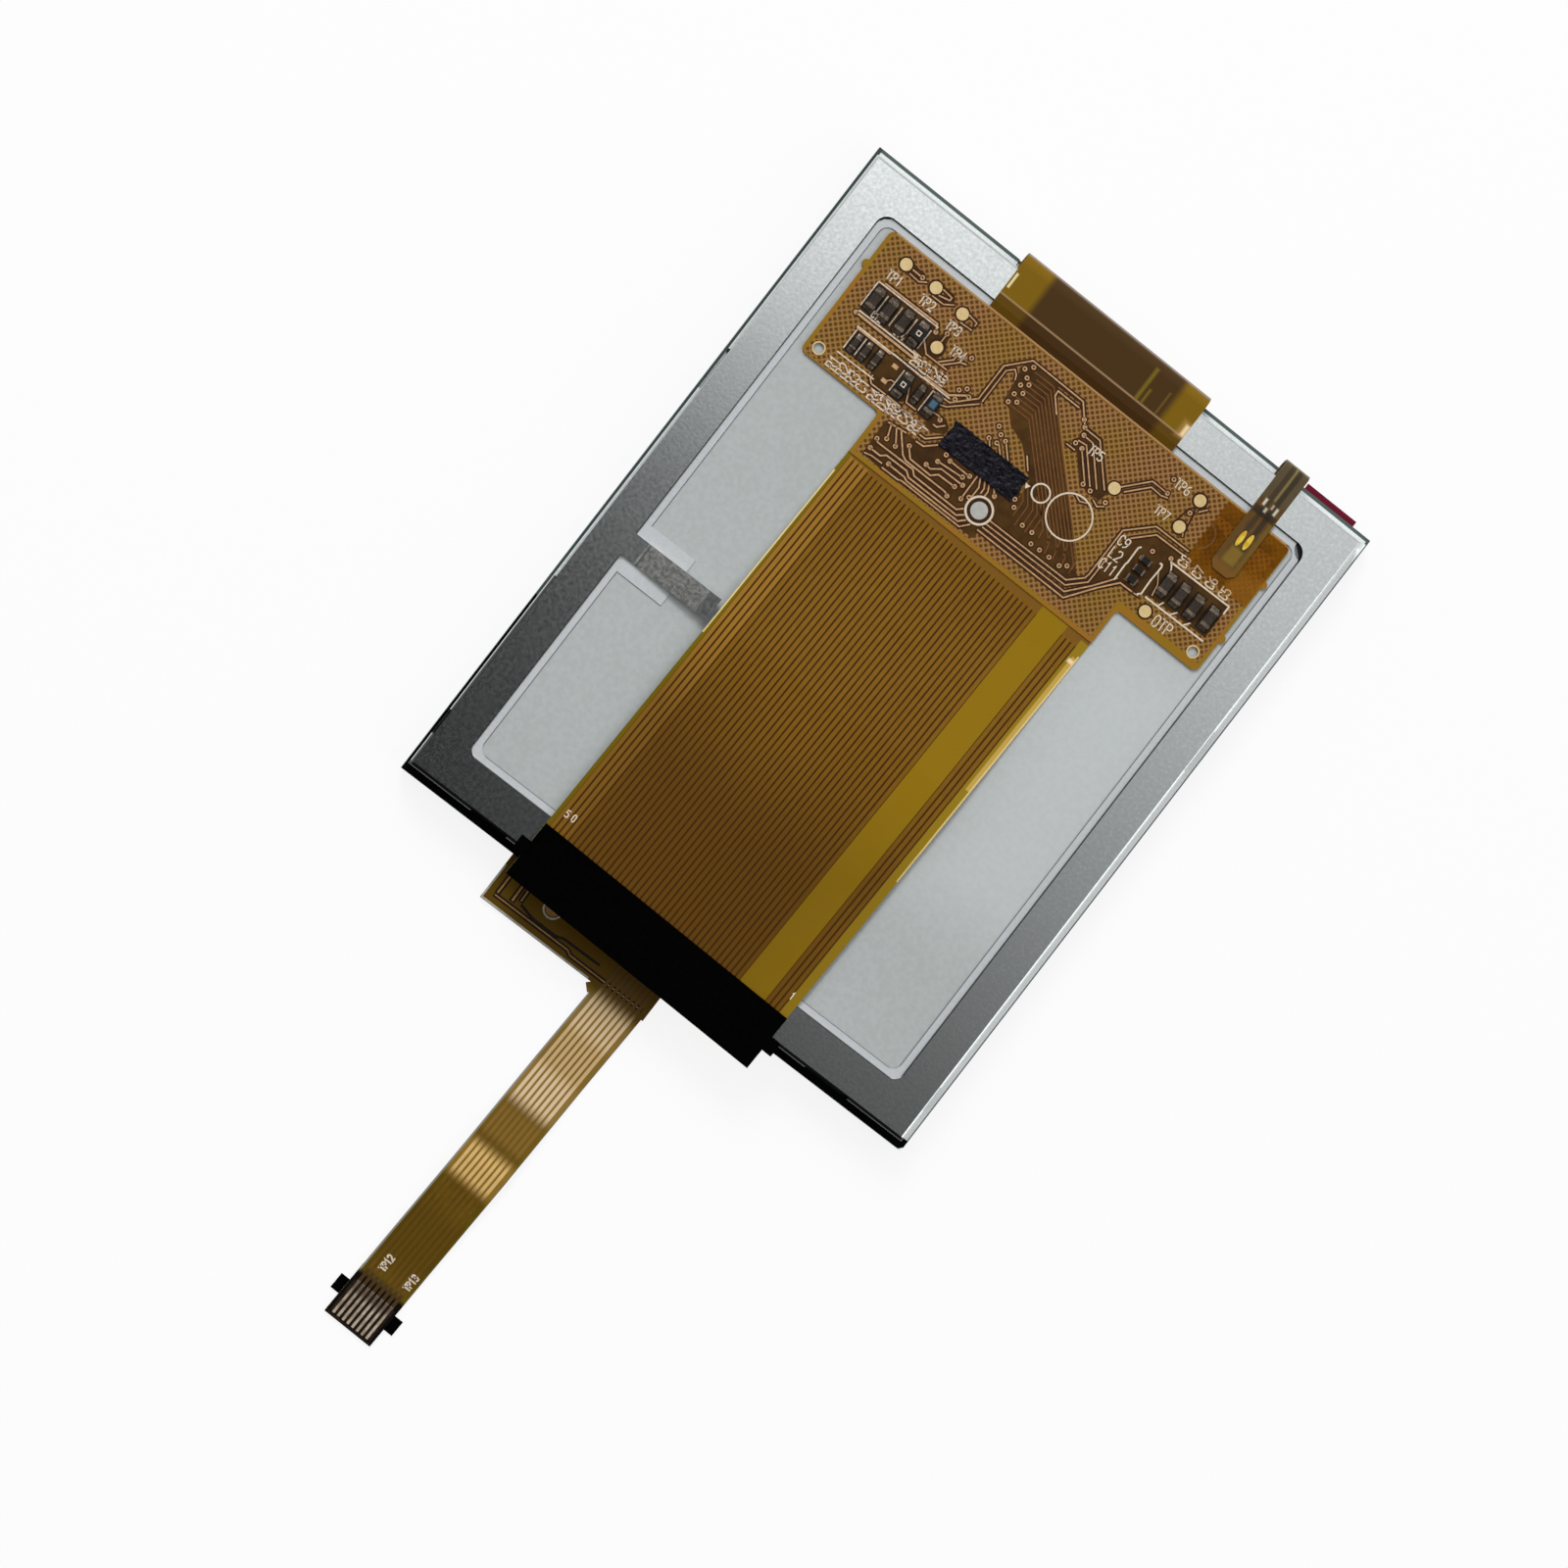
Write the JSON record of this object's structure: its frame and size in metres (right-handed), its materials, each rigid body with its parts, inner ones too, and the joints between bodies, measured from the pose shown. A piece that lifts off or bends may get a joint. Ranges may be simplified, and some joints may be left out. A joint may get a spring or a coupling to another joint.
{
  "type": "backlit lcd module with resistive touch panel",
  "caption": "Flat rectangular display module with a folded metal back, a T-shaped circuit film with a wide ribbon tail, and a narrow touch panel tail.",
  "frame": {"origin": "middle of the touch panel's outline on the front face, which lies down at z = 0", "axes": "+Z from the front face towards the metal back, +Y towards the edge where the circuit film folds, +X to the right seen from the back"},
  "size_m": [0.052, 0.1042, 0.0046],
  "materials": {
    "clear_film": "clear peel-off film",
    "red_film": "dark red film",
    "touch_film": "clear conductive film",
    "black_tape": "black adhesive tape",
    "glass": "clear thin glass",
    "polariser": "dark polarising film",
    "silicon": "polished silicon",
    "optical_sheet": "milky optical sheet",
    "light_guide": "clear acrylic",
    "white_sheet": "white reflecting film",
    "white_plastic": "moulded white plastic",
    "lamp_package": "white lamp packages",
    "black_plastic": "moulded black plastic",
    "sheet_metal": "satin zinc-plated sheet",
    "amber_film": "amber polyimide film",
    "copper": "copper under amber coverlay",
    "black_stiffener": "black stiffener film",
    "gold": "gold-plated copper",
    "solder": "tinned metal",
    "ceramic": "dark fired ceramic",
    "blue_ceramic": "blue-coated ceramic",
    "black_epoxy": "black moulding compound",
    "amber_tape": "dark amber tape"
  },
  "bodies": {
    "root": {"protective_film": "clear_film", "pull_tab": "red_film", "touch_film": "touch_film", "touch_spacer": "black_tape", "touch_glass": "glass", "panel_gasket": "black_tape", "front_polariser": "polariser", "colour_filter_glass": "glass", "array_glass": "glass", "driver_chip": "silicon", "rear_polariser": "polariser", "light_shield_tape": "black_tape", "upper_prism_sheet": "optical_sheet", "lower_prism_sheet": "optical_sheet", "diffuser_sheet": "optical_sheet", "light_guide": "light_guide", "reflector_sheet": "white_sheet", "backlight_housing": "white_plastic", "lamps": "lamp_package", "panel_frame": "black_plastic", "rear_frame": "sheet_metal", "main_flex": "amber_film", "tail_conductors": "copper", "tail_stiffener": "black_stiffener", "tail_contacts": "gold", "test_pads": "gold", "locating_disc": "solder", "chip_bodies": "ceramic", "blue_resistor": "blue_ceramic", "small_chip_bodies": "ceramic", "diodes": "black_epoxy", "filter_parts": "ceramic", "chip_terminals": "solder", "insulating_patch": "black_tape", "joint_tape": "amber_tape", "lamp_flex": "amber_film", "joint_pads": "gold", "touch_flex": "amber_film", "touch_conductors": "copper", "touch_stiffener": "black_stiffener", "touch_contacts": "solder"}
  },
  "joints": []
}
